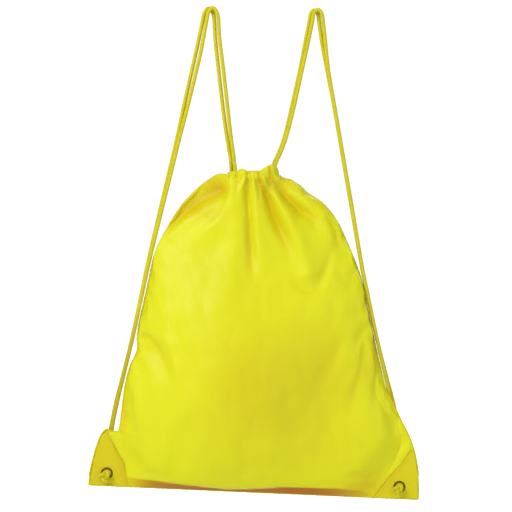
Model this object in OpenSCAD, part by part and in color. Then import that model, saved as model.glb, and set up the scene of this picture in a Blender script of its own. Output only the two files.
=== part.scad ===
// Drawstring backpack, hung by its two cord loops.
// X runs along the width, the front faces -Y, and Z points up.
// The origin is the underside of the left cord loop, where a peg holds it.

/* [Bag] */
// Thickness of one cloth panel
cloth_t = 0.8; // [0.6:0.1:1.2]
// Half the thickness of the stitched seam between the panels
seam_half = 0.3; // [0.2:0.1:0.4]
// How far the full front panel stands out from the seams
front_crown = 38; // [30:1:44]
// How far the back panel stands out from the seams
back_crown = 22; // [16:1:26]
// How far each panel stands out at the drawn mouth
mouth_crown = 10.5; // [10:0.1:11]

/* [Casing] */
// Height of the gathered hem that holds the cords
casing_h = 16; // [15:1:18]
// Half the straight length of the drawn mouth
mouth_straight = 12; // [11:0.5:13]
// Angle of hem kept on each rounded end of the mouth
casing_arc = 55; // [45:1:58]

/* [Cord] */
// Diameter of the braided cord
cord_d = 4; // [3.8:0.1:4]
// Number of flat sides on a cord
cord_sides = 8; // [8:1:12]

/* [Corners] */
// Thickness of a corner patch
patch_t = 0.6; // [0.4:0.1:0.8]
// Radius of the eyelet's hole
eyelet_r = 4.4; // [4.2:0.1:4.6]
// Radius of the eyelet's rim
rim_r = 6.2; // [6:0.1:6.5]
// Thickness of the eyelet's rim and of its washer
rim_t = 0.7; // [0.5:0.1:0.8]
// Radius of a cord knot
knot_r = 6.6; // [6.2:0.1:7]

/* [Stitching] */
// Length of one stitch
stitch_l = 2.2; // [1.8:0.1:2.6]
// Distance from one stitch to the next
stitch_pitch = 3.4; // [3.2:0.1:4]
// Thickness of the sewing thread
thread_d = 0.4; // [0.3:0.1:0.5]

/* [Hidden] */

cloth_colour = "#e6e020";
cord_colour = "#dcd41c";
thread_colour = "#d8c818";
metal_colour = "#c8a850";

round_fn = 48;
front = -1;
back = 1;
left = -1;
right = 1;

// Outline of the filled bag: height, left edge, right edge
stations = [
    [-176, 20, 70],
    [-180, -6, 87],
    [-190, -22, 102],
    [-207, -36, 122],
    [-225, -48, 134],
    [-245, -55, 141],
    [-275, -61, 151],
    [-305, -65, 157],
    [-340, -72, 163],
    [-370, -83, 170],
    [-400, -89, 181],
    [-425, -93, 197],
    [-440, -108, 204],
    [-460, -119, 210],
    [-497, -126, 214]
];
mouth_z = stations[0][0];
bottom_z = stations[len(stations) - 1][0];
mouth_x = (stations[0][1] + stations[0][2]) / 2;

// The bag hangs a little lower on its right
bottom_tilt = 7;
tilt_from = 0.7;

// Width of the flat stitched edges, as shares of the half width and the height
flange_u = 0.96;
flange_s = 0.99;
// Height share at which the bottom begins to close
close_s = 0.82;
// Height share by which the crown is full
full_s = 0.6;
crown_power = 0.6;
rows = 26;
half_columns = 12;
columns = 2 * half_columns;
seam_column = 9;
bottom_seam_row = 24;

// Corners of the bag, and the ends of each corner patch's diagonal edge
left_corner = [-123, -487];
left_patch_top = [-105, -441];
left_patch_base = [-86, -489];
right_corner = [211, -501];
right_patch_top = [207, -458];
right_patch_base = [172, -499];
left_eyelet_at = [-107.5, -477];
right_eyelet_at = [193.5, -491];
// The bag lies flat near each patch and is full further away, in patch sizes
flat_to = 1.5;
full_from = 3.2;
patch_inset = 2.5;

// Layers of the corner, measured from the seam plane
panel_face = seam_half + cloth_t;
patch_face = panel_face + patch_t;
barrel_t = 0.4;
barrel_r = eyelet_r + barrel_t;
barrel_gap = 0.1;
lip_r = barrel_r + 0.7;
lip_t = 0.3;

// Two cords lie side by side in the hem
track_gap = cord_d + 0.2;
inner_track = 9.4;
outer_track = inner_track + track_gap;
mid_track = (inner_track + outer_track) / 2;
channel_half = track_gap / 2 + cord_d / 2 + 0.3;
channel_h = cord_d + 0.8;
casing_half = channel_half + 0.8;
casing_face = mid_track + casing_half;
casing_top = mouth_z + casing_h;
cord_z = mouth_z + casing_h / 2;
arc_steps = 5;
turn_steps = 9;
// Degrees that each cord follows its track past the hem's end before it rises
lead_out = 6;

// The ends of each cord rise out of the hem on their own side
left_front_rise = [[20.7, -5.2, -165.5], [21.4, -3, -161.5]];
left_back_rise = [[19.5, 5.4, -165.5], [19, 3.2, -161.5]];
right_front_rise = [[65.9, -2.9, -165.5], [66.6, -2.4, -161]];
right_back_rise = [[65.9, 2.9, -165.5], [65.7, 2.6, -161]];

// Shoulder cords, from the hem over the peg and down to behind the eyelet
left_front_route = [
    [23.5, -1.5, -156.8], [22.6, -2, -148], [19.8, -2.2, -128], [16.7, -2.2, -100],
    [12.2, -2.2, -60], [8.5, -2.2, -30], [7.3, -2.2, -11], [5.8, -2.2, -3],
    [1.6, -2.2, 2], [-3, -2.2, -2.5], [-4.6, -2.2, -10], [-8.3, -2.2, -30],
    [-12.3, -2.2, -50], [-24.4, -2.2, -100], [-32.2, -2.2, -130], [-42, -2.2, -170],
    [-61.8, -2.2, -250], [-72.8, -2.2, -300], [-81.5, -2.2, -340], [-91.2, -1.2, -380],
    [-96.5, 0.7, -402], [-102.3, 3.9, -430], [-103.6, 5.6, -445], [-105.3, 6.8, -463.9]
];
left_back_route = [
    [20, 1.5, -155.2], [18.9, 2, -148], [15.6, 2.2, -128], [11.8, 2.2, -100],
    [7.2, 2.2, -60], [4, 2.2, -30], [3, 2.2, -11], [1.6, 2.2, -3],
    [-2.8, 2.2, 2], [-7.2, 2.2, -3], [-8.8, 2.2, -10], [-13, 2.2, -30],
    [-17.4, 2.2, -50], [-28.6, 2.2, -100], [-34.9, 2.2, -130], [-44.3, 2.2, -170],
    [-63.2, 2.2, -250], [-73.6, 2.2, -300], [-82.2, 2.2, -340], [-92.2, 3.3, -380],
    [-98, 5, -402], [-104, 8.1, -430], [-107, 8.2, -445], [-109.7, 6.8, -462.1]
];
right_front_route = [
    [67.5, -2, -154.6], [71.2, -2.2, -147], [77.4, -2.2, -130], [85, -2.2, -100],
    [93.8, -2.2, -60], [98.2, -2.2, -40], [102.4, -2.2, -20], [104.3, -2.2, -10.5],
    [105.5, -2.2, -4], [109.9, -2.2, 0], [113.7, -2.2, -4], [115, -2.2, -12],
    [117, -2.2, -30], [119, -2.2, -50], [121.6, -2.2, -70], [126.9, -2.2, -100],
    [137.2, -2.2, -160], [144.2, -2.2, -200], [154.4, -2.2, -260], [162.4, -2.2, -300],
    [170.8, -2, -340], [180, 0.4, -380], [184, 3.4, -400], [187.2, 5.8, -422],
    [190, 6.8, -448], [191.3, 6.8, -477.9]
];
right_back_route = [
    [65.5, 2, -155.4], [69.5, 2.2, -147], [75.6, 2.2, -130], [82.8, 2.2, -100],
    [91.6, 2.2, -60], [95.4, 2.2, -40], [99.3, 2.2, -20], [101.2, 2.2, -10.5],
    [102.4, 2.2, -4], [106.2, 2.2, 0], [109.8, 2.2, -4], [111, 2.2, -12],
    [113.4, 2.2, -30], [117, 2.2, -50], [120.8, 2.2, -70], [126.6, 2.2, -100],
    [136.9, 2.2, -160], [143.8, 2.2, -200], [154.2, 2.2, -260], [162.2, 2.2, -300],
    [171, 2.4, -340], [181.2, 4.6, -380], [187, 6.6, -401], [192, 6.8, -425],
    [194.4, 6.8, -448], [195.7, 6.8, -476.1]
];

// Each pair of shoulder cords swings about the line through its two ends
function middle(a, b) = (a + b) / 2;
function last_of(list) = list[len(list) - 1];
left_axis = unit(middle(left_front_route[0], left_back_route[0])
    - middle(last_of(left_front_route), last_of(left_back_route)));
right_axis = unit(middle(right_front_route[0], right_back_route[0])
    - middle(last_of(right_front_route), last_of(right_back_route)));

// Room between a swinging strand and the fixed length of cord that it continues,
// and the length for which both run straight along the pivot's axis there
pivot_gap = 0.5;
pivot_lead = 2;

// Each cord end turns down behind the eyelet and forward through its hole
eyelet_cord_gap = 4.3;
eyelet_cord_turn = [[0, 6.8, 7], [0, 6.3, 3.2], [0, 4.4, 0.9], [0, 1.5, 0]];
knot_front = patch_face + rim_t;
knot_drop = [-2.4, -2.4];
knot_depth = 4.5;

// ---- helpers ----

function unit(v) = v / norm(v);
function smooth(t) =
    let (c = min(1, max(0, t)))
    c * c * (3 - 2 * c);

// Straight-line value of one station column at height z
function station_at(z, column, i = 0) =
    i >= len(stations) - 2 || stations[i + 1][0] <= z
    ? let (a = stations[i], b = stations[i + 1])
        a[column] + (b[column] - a[column]) * (z - a[0]) / (b[0] - a[0])
    : station_at(z, column, i + 1);

// Distance from a bag corner past its patch's diagonal, in patch sizes
function patch_share(p, corner, top, base) =
    let (
        along = base - top,
        across = unit([-along[1], along[0]]),
        reach = (top - corner) * across
    )
    ((p - corner) * across) / reach;

function corner_fill(p) =
    smooth((patch_share(p, left_corner, left_patch_top, left_patch_base) - flat_to)
        / (full_from - flat_to))
    * smooth((patch_share(p, right_corner, right_patch_top, right_patch_base) - flat_to)
        / (full_from - flat_to));

// Place on the bag's outline: u from -1 at the left to 1, s from 0 at the mouth to 1
function outline_at(u, s) =
    let (
        z = mouth_z + (bottom_z - mouth_z) * s,
        a = station_at(z, 1),
        b = station_at(z, 2),
        tilt = bottom_tilt * smooth((s - tilt_from) / (1 - tilt_from))
    )
    [(a + b) / 2 + u * (b - a) / 2, z - tilt * u];

// How far a panel stands out from the seam plane
function fullness(u, s, crown) =
    let (
        across = abs(u) >= flange_u ? 0 : pow(1 - pow(u / flange_u, 2), crown_power),
        down = mouth_crown + (crown - mouth_crown) * smooth(s / full_s),
        low = (s - close_s) / (flange_s - close_s),
        closing = low <= 0 ? 1 : low >= 1 ? 0 : sqrt(1 - low * low),
        flat = s < 0.3 ? 1 : corner_fill(outline_at(u, s))
    )
    across * down * closing * flat;

function column_u(j) = sin(90 * (j - half_columns) / half_columns);
function row_s(k) = (1 - cos(180 * k / rows)) / 2;

// A closed skin between two grids of points, rows by columns
module skin(outer, inner, across, along) {
    count = across * along;
    points = concat(outer, inner);
    sheet = [
        for (k = [0 : along - 2], j = [0 : across - 2])
            let (a = k * across + j)
            each [[a, a + 1, a + across + 1], [a, a + across + 1, a + across]]
    ];
    lining = [for (f = sheet) [f[2] + count, f[1] + count, f[0] + count]];
    rim = concat(
        [for (j = [0 : across - 2]) [j, j + 1]],
        [for (k = [0 : along - 2]) [(k + 1) * across - 1, (k + 2) * across - 1]],
        [for (j = [0 : across - 2]) [count - 1 - j, count - 2 - j]],
        [for (k = [0 : along - 2]) [(along - 1 - k) * across, (along - 2 - k) * across]]
    );
    wall = [
        for (e = rim)
            each [[e[1], e[0], e[0] + count], [e[1], e[0] + count, e[1] + count]]
    ];
    polyhedron(points, concat(sheet, lining, wall));
}

// A cord swept through points, with its two ends cut square to the given directions
module tube(points, radius, start_dir, end_dir, ref = [0, 1, 0]) {
    n = len(points);
    dirs = [
        for (i = [0 : n - 1])
            i == 0 ? start_dir
            : i == n - 1 ? end_dir
            : unit(unit(points[i + 1] - points[i]) + unit(points[i] - points[i - 1]))
    ];
    rings = [
        for (i = [0 : n - 1])
            let (side = unit(cross(dirs[i], ref)), up = cross(side, dirs[i]))
            for (k = [0 : cord_sides - 1])
                let (a = 360 * k / cord_sides)
                points[i] + radius * (cos(a) * side + sin(a) * up)
    ];
    walls = [
        for (i = [0 : n - 2], k = [0 : cord_sides - 1])
            let (
                a = i * cord_sides + k,
                b = i * cord_sides + (k + 1) % cord_sides
            )
            each [[a, a + cord_sides, b + cord_sides], [a, b + cord_sides, b]]
    ];
    first = [for (k = [0 : cord_sides - 1]) k];
    last = [for (k = [cord_sides - 1 : -1 : 0]) (n - 1) * cord_sides + k];
    polyhedron(rings, concat([first], walls, [last]));
}

// A hole along Y through the corner, for the eyelet
module corner_hole(at, radius) {
    translate([at[0], 0, at[1]])
        rotate([90, 0, 0])
            cylinder(h = 12, r = radius, center = true, $fn = round_fn);
}

// ---- cloth ----

module panel(facing, crown) {
    function point(j, k, lift) =
        let (
            u = column_u(j),
            s = row_s(k),
            p = outline_at(u, s),
            y = seam_half + fullness(u, s, crown) + lift
        )
        [p[0], facing * y, p[1]];
    outer = [
        for (k = [0 : rows], j = [0 : columns])
            point(facing == front ? j : columns - j, k, cloth_t)
    ];
    inner = [
        for (k = [0 : rows], j = [0 : columns])
            point(facing == front ? j : columns - j, k, 0)
    ];
    color(cloth_colour)
        difference() {
            skin(outer, inner, columns + 1, rows + 1);
            corner_hole(left_eyelet_at, barrel_r + barrel_gap);
            corner_hole(right_eyelet_at, barrel_r + barrel_gap);
        }
}

module front_panel() {
    panel(front, front_crown);
}

module back_panel() {
    panel(back, back_crown);
}

// A flat strip between the panels, over a block of the outline's grid
module seam_strip(from_column, to_column, from_row, to_row) {
    function layer(y) = [
        for (k = [from_row : to_row], j = [from_column : to_column])
            let (p = outline_at(column_u(j), row_s(k)))
            [p[0], y, p[1]]
    ];
    color(cloth_colour)
        skin(layer(-seam_half), layer(seam_half),
            to_column - from_column + 1, to_row - from_row + 1);
}

module left_side_seam() {
    difference() {
        seam_strip(0, half_columns - seam_column, 0, rows);
        corner_hole(left_eyelet_at, barrel_r + barrel_gap);
    }
}

module right_side_seam() {
    seam_strip(half_columns + seam_column, columns, 0, rows);
}

module bottom_seam() {
    seam_strip(half_columns - seam_column, half_columns + seam_column,
        bottom_seam_row, rows);
}

// ---- gathered hem ----

// Section of the hem, measured out from the middle of its two cord tracks
module casing_section() {
    difference() {
        union() {
            translate([-casing_half, mouth_z])
                square([2 * casing_half, casing_h - casing_half]);
            translate([0, casing_top - casing_half])
                circle(r = casing_half, $fn = round_fn);
        }
        translate([-channel_half, cord_z - channel_h / 2])
            square([2 * channel_half, channel_h]);
    }
}

module casing(facing) {
    color(cloth_colour)
        translate([mouth_x, 0, 0])
            mirror([0, facing == front ? 0 : 1, 0]) {
                translate([-mouth_straight, -mid_track, 0])
                    rotate([90, 0, 90])
                        linear_extrude(2 * mouth_straight)
                            casing_section();
                for (side = [left, right])
                    translate([side * mouth_straight, 0, 0])
                        rotate([0, 0, side == left ? 270 - casing_arc : 270])
                            rotate_extrude(angle = casing_arc, $fn = round_fn)
                                translate([mid_track, 0])
                                    casing_section();
            }
}

module front_casing() {
    casing(front);
}

module back_casing() {
    casing(back);
}

// One row of stitches round the foot of the hem
module casing_stitching(facing) {
    stitch_z = mouth_z + 3;
    straight_count = floor(2 * mouth_straight / stitch_pitch);
    arc_step = stitch_pitch / casing_face * 180 / PI;
    arc_count = floor(casing_arc / arc_step) - 2;
    color(thread_colour)
        translate([mouth_x, 0, stitch_z])
            mirror([0, facing == front ? 0 : 1, 0]) {
                for (i = [0 : straight_count - 1])
                    translate([(i - (straight_count - 1) / 2) * stitch_pitch, 0, 0])
                        casing_stitch();
                for (side = [left, right], i = [0 : arc_count - 1])
                    translate([side * mouth_straight, 0, 0])
                        rotate([0, 0, side * (i + 0.6) * arc_step])
                            casing_stitch();
            }
}

module casing_stitch() {
    translate([-stitch_l / 2, -casing_face - thread_d / 2, -thread_d / 2])
        cube([stitch_l, thread_d, thread_d]);
}

module front_casing_stitching() {
    casing_stitching(front);
}

module back_casing_stitching() {
    casing_stitching(back);
}

// Dense stitches that stop the hem tearing where the cords come out
module bar_tacks(side) {
    tack_w = 1.8;
    tack_h = 9;
    color(thread_colour)
        translate([mouth_x + side * mouth_straight, 0, mouth_z + 1])
            for (facing = [front, back])
                mirror([0, facing == front ? 0 : 1, 0])
                    rotate([0, 0, side * (casing_arc - 6)])
                        translate([-tack_w / 2, -casing_face - thread_d / 2, 0])
                            cube([tack_w, thread_d, tack_h]);
}

module left_bar_tacks() {
    bar_tacks(left);
}

module right_bar_tacks() {
    bar_tacks(right);
}

// ---- corners ----

module patch(facing, corner, top, base, at) {
    near = facing == front ? -patch_face : panel_face;
    color(cloth_colour)
        difference() {
            translate([0, near + patch_t, 0])
                rotate([90, 0, 0])
                    linear_extrude(patch_t)
                        polygon([corner, top, base]);
            corner_hole(at, barrel_r + barrel_gap);
        }
}

module left_front_patch() {
    patch(front, left_corner, left_patch_top, left_patch_base, left_eyelet_at);
}

module left_back_patch() {
    patch(back, left_corner, left_patch_top, left_patch_base, left_eyelet_at);
}

module right_front_patch() {
    patch(front, right_corner, right_patch_top, right_patch_base, right_eyelet_at);
}

module right_back_patch() {
    patch(back, right_corner, right_patch_top, right_patch_base, right_eyelet_at);
}

// Stitches along a patch's diagonal edge, on both faces of the bag
module patch_stitching(corner, top, base) {
    along = unit(base - top);
    away = unit([-along[1], along[0]]);
    inward = (corner - top) * away > 0 ? away : -away;
    run = norm(base - top) - 4 * patch_inset;
    count = floor(run / stitch_pitch);
    color(thread_colour)
        for (facing = [front, back], i = [0 : count - 1]) {
            p = top + along * (2 * patch_inset + (i + 0.5) * run / count)
                + inward * patch_inset;
            translate([p[0], facing * (patch_face + thread_d / 2), p[1]])
                rotate([0, -atan2(along[1], along[0]), 0])
                    cube([stitch_l, thread_d, thread_d], center = true);
        }
}

module left_patch_stitching() {
    patch_stitching(left_corner, left_patch_top, left_patch_base);
}

module right_patch_stitching() {
    patch_stitching(right_corner, right_patch_top, right_patch_base);
}

// Front rim, barrel through the cloth, and the lip rolled over the washer
module eyelet(at) {
    lip_y = patch_face + rim_t;
    color(metal_colour)
        translate([at[0], 0, at[1]])
            rotate([90, 0, 0])
                rotate_extrude($fn = round_fn)
                    polygon([
                        [eyelet_r, -lip_y - lip_t], [lip_r, -lip_y - lip_t],
                        [lip_r, -lip_y], [barrel_r, -lip_y],
                        [barrel_r, patch_face], [rim_r, patch_face],
                        [rim_r, patch_face + rim_t * 0.4],
                        [rim_r - 0.5, patch_face + rim_t],
                        [eyelet_r, patch_face + rim_t]
                    ]);
}

module eyelet_washer(at) {
    color(metal_colour)
        translate([at[0], patch_face + rim_t, at[1]])
            rotate([90, 0, 0])
                difference() {
                    cylinder(h = rim_t, r = rim_r, $fn = round_fn);
                    translate([0, 0, -1])
                        cylinder(h = rim_t + 2, r = barrel_r, $fn = round_fn);
                }
}

module left_eyelet() {
    eyelet(left_eyelet_at);
}

module left_eyelet_washer() {
    eyelet_washer(left_eyelet_at);
}

module right_eyelet() {
    eyelet(right_eyelet_at);
}

module right_eyelet_washer() {
    eyelet_washer(right_eyelet_at);
}

// ---- cords ----

// Route of a cord inside the hem: in at the front, round the far end, out at the back
function stadium_turn(side, track, from, to, steps, far) = [
    for (i = [0 : steps])
        let (a = from + (to - from) * i / steps)
        [
            mouth_x + side * ((far ? -mouth_straight : mouth_straight) + track * sin(a)),
            -track * cos(a),
            cord_z
        ]
];

// The two points nearest a pivot, on a fixed length and on a swinging strand
function fixed_end(p, axis) = [p - pivot_gap * axis, p - (pivot_gap + pivot_lead) * axis];
function strand_route(route, axis) = concat(
    [route[0], route[0] + pivot_lead * axis],
    [for (i = [1 : len(route) - 2]) route[i]],
    [last_of(route) + pivot_lead * axis, last_of(route)]
);
function reversed(list) = [for (i = [len(list) - 1 : -1 : 0]) list[i]];

function run_route(side, track, axis, front_route, front_rise, back_route, back_rise) = concat(
    fixed_end(front_route[0], axis), [front_rise[1], front_rise[0]],
    stadium_turn(side, track, casing_arc + lead_out, 0, arc_steps, false),
    stadium_turn(side, track, 0, -180, turn_steps, true),
    stadium_turn(side, track, 180, 180 - casing_arc - lead_out, arc_steps, false),
    [back_rise[0], back_rise[1]], reversed(fixed_end(back_route[0], axis))
);

module left_cord_casing_run() {
    color(cord_colour)
        tube(
            run_route(left, outer_track, left_axis, left_front_route, left_front_rise,
                left_back_route, left_back_rise),
            cord_d / 2, -left_axis, left_axis, ref = [1, 1, 1]);
}

module right_cord_casing_run() {
    color(cord_colour)
        tube(
            run_route(right, inner_track, right_axis, right_front_route, right_front_rise,
                right_back_route, right_back_rise),
            cord_d / 2, -right_axis, right_axis, ref = [1, -1, -1]);
}

module left_cord_front_strand() {
    color(cord_colour)
        tube(strand_route(left_front_route, left_axis),
            cord_d / 2, left_axis, -left_axis);
}

module left_cord_back_strand() {
    color(cord_colour)
        tube(strand_route(left_back_route, left_axis),
            cord_d / 2, left_axis, -left_axis);
}

module right_cord_front_strand() {
    color(cord_colour)
        tube(strand_route(right_front_route, right_axis),
            cord_d / 2, right_axis, -right_axis);
}

module right_cord_back_strand() {
    color(cord_colour)
        tube(strand_route(right_back_route, right_axis),
            cord_d / 2, right_axis, -right_axis);
}

// The two strands go forward through the eyelet side by side
module cord_eyelet_end(at, front_route, back_route, axis) {
    color(cord_colour)
        for (route = [front_route, back_route]) {
            side = last_of(route)[0] > at[0] ? 1 : -1;
            x = at[0] + side * eyelet_cord_gap / 2;
            bend = [
                for (p = eyelet_cord_turn) [x, p[1], at[1] + p[2]]
            ];
            tube(concat(fixed_end(last_of(route), axis), bend, [[x, -knot_front, at[1]]]),
                cord_d / 2 - 0.1, -axis, [0, -1, 0], ref = [1, 0, 0]);
        }
}

module left_cord_eyelet_end() {
    cord_eyelet_end(left_eyelet_at, left_front_route, left_back_route, left_axis);
}

module right_cord_eyelet_end() {
    cord_eyelet_end(right_eyelet_at, right_front_route, right_back_route, right_axis);
}

// The knot sits on the eyelet's rim and stops the cord pulling back
module knot(at) {
    color(cord_colour)
        translate([at[0] + knot_drop[0], -knot_front, at[1] + knot_drop[1]])
            rotate([90, 0, 0])
                rotate_extrude($fn = round_fn)
                    intersection() {
                        translate([0, knot_depth])
                            circle(r = knot_r, $fn = round_fn);
                        square([knot_r, knot_depth + knot_r]);
                    }
}

module left_knot() {
    knot(left_eyelet_at);
}

module right_knot() {
    knot(right_eyelet_at);
}

front_panel();
back_panel();
left_side_seam();
right_side_seam();
bottom_seam();
front_casing();
back_casing();
front_casing_stitching();
back_casing_stitching();
left_bar_tacks();
right_bar_tacks();
left_front_patch();
left_back_patch();
right_front_patch();
right_back_patch();
left_patch_stitching();
right_patch_stitching();
left_eyelet();
left_eyelet_washer();
right_eyelet();
right_eyelet_washer();
left_cord_casing_run();
right_cord_casing_run();
left_cord_front_strand();
left_cord_back_strand();
right_cord_front_strand();
right_cord_back_strand();
left_cord_eyelet_end();
right_cord_eyelet_end();
left_knot();
right_knot();
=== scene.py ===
"""A drawn drawstring backpack, hung by its two cord loops in front of a white studio sweep."""

import bpy
import math
import numpy as np
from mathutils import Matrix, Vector, noise
from mathutils.bvhtree import BVHTree


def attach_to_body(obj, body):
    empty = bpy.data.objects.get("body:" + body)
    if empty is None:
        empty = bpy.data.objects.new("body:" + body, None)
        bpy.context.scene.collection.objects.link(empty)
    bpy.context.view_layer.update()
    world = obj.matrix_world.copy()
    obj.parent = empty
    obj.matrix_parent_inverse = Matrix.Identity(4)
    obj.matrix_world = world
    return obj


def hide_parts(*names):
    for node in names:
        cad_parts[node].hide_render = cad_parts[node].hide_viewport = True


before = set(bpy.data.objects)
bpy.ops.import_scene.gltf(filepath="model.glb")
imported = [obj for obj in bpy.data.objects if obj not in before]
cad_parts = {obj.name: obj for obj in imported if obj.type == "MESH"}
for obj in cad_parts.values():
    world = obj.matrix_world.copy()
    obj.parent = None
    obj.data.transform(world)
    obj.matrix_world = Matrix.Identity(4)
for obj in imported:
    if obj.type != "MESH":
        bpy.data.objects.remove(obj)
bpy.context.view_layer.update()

MM = 0.001

# ---- camera: level with the middle of the bag, far back, as a product photograph is taken ----

VIEW_CENTRE = Vector((0.0460, 0.0, -0.2534))
VIEW_WIDTH = 0.5273
VIEW_DISTANCE = 2.2
SENSOR = 36.0

camera_data = bpy.data.cameras.new("camera")
camera_data.sensor_width = SENSOR
camera_data.lens = SENSOR * VIEW_DISTANCE / VIEW_WIDTH
camera = bpy.data.objects.new("camera", camera_data)
camera.location = VIEW_CENTRE - Vector((0, VIEW_DISTANCE, 0))
camera.rotation_euler = (math.radians(90), 0, 0)
bpy.context.scene.collection.objects.link(camera)
bpy.context.scene.camera = camera
bpy.context.scene.view_settings.view_transform = "Standard"


# ---- small helpers ----

def smooth(t):
    t = np.clip(t, 0.0, 1.0)
    return t * t * (3 - 2 * t)


def travelled(path):
    """The length of a path up to each of its points."""
    return np.concatenate([[0], np.cumsum(np.linalg.norm(np.diff(path, axis=0), axis=1))])


def evenly(points, count):
    """So many points evenly along a polyline."""
    p = np.array(points, float)
    length = travelled(p)
    at = np.linspace(0, length[-1], count)
    return np.column_stack([np.interp(at, length, p[:, k]) for k in range(p.shape[1])])


def curve_through(points, step):
    """Points a step apart along a Catmull-Rom curve through the given points."""
    p = np.array(points, float)
    p = np.vstack([2 * p[0] - p[1], p, 2 * p[-1] - p[-2]])
    dense = []
    for i in range(1, len(p) - 2):
        span = max(2, int(np.linalg.norm(p[i + 1] - p[i]) / (step * 0.25)))
        t = np.linspace(0, 1, span, endpoint=False)[:, None]
        a, b, c, d = p[i - 1:i + 3]
        dense.append(b + 0.5 * t * (c - a + t * (2 * a - 5 * b + 4 * c - d
                                                 + t * (3 * (b - c) + d - a))))
    dense = np.vstack(dense + [p[-2:-1]])
    return evenly(dense, max(2, int(round(travelled(dense)[-1] / step)) + 1))


def directions(path):
    """The unit direction of a path at each of its points."""
    along = np.gradient(path, axis=0)
    return along / np.linalg.norm(along, axis=1)[:, None]


def new_object(name, vertices, faces, material, smooth_shade=True, **attributes):
    """A mesh object with a material, and point attributes by name."""
    mesh = bpy.data.meshes.new(name)
    mesh.from_pydata([tuple(v) for v in vertices], [], [tuple(int(i) for i in f) for f in faces])
    if smooth_shade:
        mesh.polygons.foreach_set("use_smooth", [True] * len(mesh.polygons))
    mesh.update()
    mesh.materials.append(material)
    obj = bpy.data.objects.new(name, mesh)
    bpy.context.scene.collection.objects.link(obj)
    for attribute, values in attributes.items():
        mesh.attributes.new(attribute, "FLOAT", "POINT")
        set_attribute(obj, attribute, values)
    return obj


def set_attribute(obj, name, values):
    obj.data.attributes[name].data.foreach_set("value", np.asarray(values, np.float32))


def attribute_of(obj, name):
    values = np.empty(len(obj.data.vertices))
    obj.data.attributes[name].data.foreach_get("value", values)
    return values


def points_of(mesh):
    points = np.empty(len(mesh.vertices) * 3)
    mesh.vertices.foreach_get("co", points)
    return points.reshape(-1, 3)


def grid_faces(rows, columns, wrap=False):
    """Quads over rows of points; with wrap, each row is a loop."""
    faces = []
    for i in range(rows - 1):
        for j in range(columns if wrap else columns - 1):
            k = (j + 1) % columns
            faces.append((i * columns + j, i * columns + k, (i + 1) * columns + k, (i + 1) * columns + j))
    return faces


def tube_faces(rings, sides, first=0, closed=False):
    """Quads between rings of points, from point number first, capped at both ends unless closed."""
    faces = []
    for i in range(rings if closed else rings - 1):
        here = first + i * sides
        there = first + (i + 1) % rings * sides
        faces += [(here + k, here + (k + 1) % sides, there + (k + 1) % sides, there + k)
                  for k in range(sides)]
    if not closed:
        faces.append(tuple(range(first, first + sides))[::-1])
        faces.append(tuple(range(first + (rings - 1) * sides, first + rings * sides)))
    return faces


# ---- materials ----

class Shader:
    """A new material with its Principled shader. An input is a number, a colour or another node's output."""

    def __init__(self, name):
        self.material = bpy.data.materials.new(name)
        self.material.use_nodes = True
        self.tree = self.material.node_tree
        self.surface = self.tree.nodes["Principled BSDF"]

    def fill(self, node, inputs):
        for key, value in inputs.items():
            if isinstance(value, bpy.types.NodeSocket):
                self.tree.links.new(value, node.inputs[key])
            else:
                node.inputs[key].default_value = value

    def node(self, kind, inputs=None, **settings):
        made = self.tree.nodes.new("ShaderNode" + kind)
        for key, value in settings.items():
            setattr(made, key, value)
        self.fill(made, inputs or {})
        return made

    def texture(self, kind, inputs, **settings):
        place = self.node("TexCoord").outputs["Object"]
        return self.node(kind, {"Vector": place, **inputs}, **settings).outputs["Fac"]

    def noise(self, scale, detail, roughness=0.5):
        return self.texture("TexNoise", {"Scale": scale, "Detail": detail, "Roughness": roughness})

    def bands(self, direction, inputs):
        return self.texture("TexWave", inputs, wave_type="BANDS", bands_direction=direction)

    def attribute(self, name):
        return self.node("Attribute", attribute_name=name).outputs["Fac"]

    def mix(self, factor, a, b, blend="MIX"):
        return self.node("Mix", {"Factor": factor, "A": a, "B": b}, data_type="RGBA",
                         blend_type=blend).outputs["Result"]

    def between(self, value, low, high):
        return self.node("MapRange", {"Value": value, "To Min": low, "To Max": high}).outputs["Result"]

    def bump(self, height, strength, distance, over=None):
        inputs = {"Height": height, "Strength": strength, "Distance": distance}
        if over:
            inputs["Normal"] = over
        return self.node("Bump", inputs).outputs["Normal"]


def rgb(hex_colour):
    """Linear colour of an sRGB hex string."""
    channels = [int(hex_colour[i:i + 2], 16) / 255 for i in (1, 3, 5)]
    return [c / 12.92 if c <= 0.04045 else ((c + 0.055) / 1.055) ** 2.4 for c in channels] + [1]


# The cloth's own yellows, mixed at random, then the warmer painted shade of its folds and the darker painted
# shade under the front's bulge
CLOTH_LIGHT = rgb("#edf014")
CLOTH_BODY = rgb("#e2e010")
CLOTH_FOLD_SHADE = rgb("#dab200")
CLOTH_UNDER_SHADE = rgb("#b86200")


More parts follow.
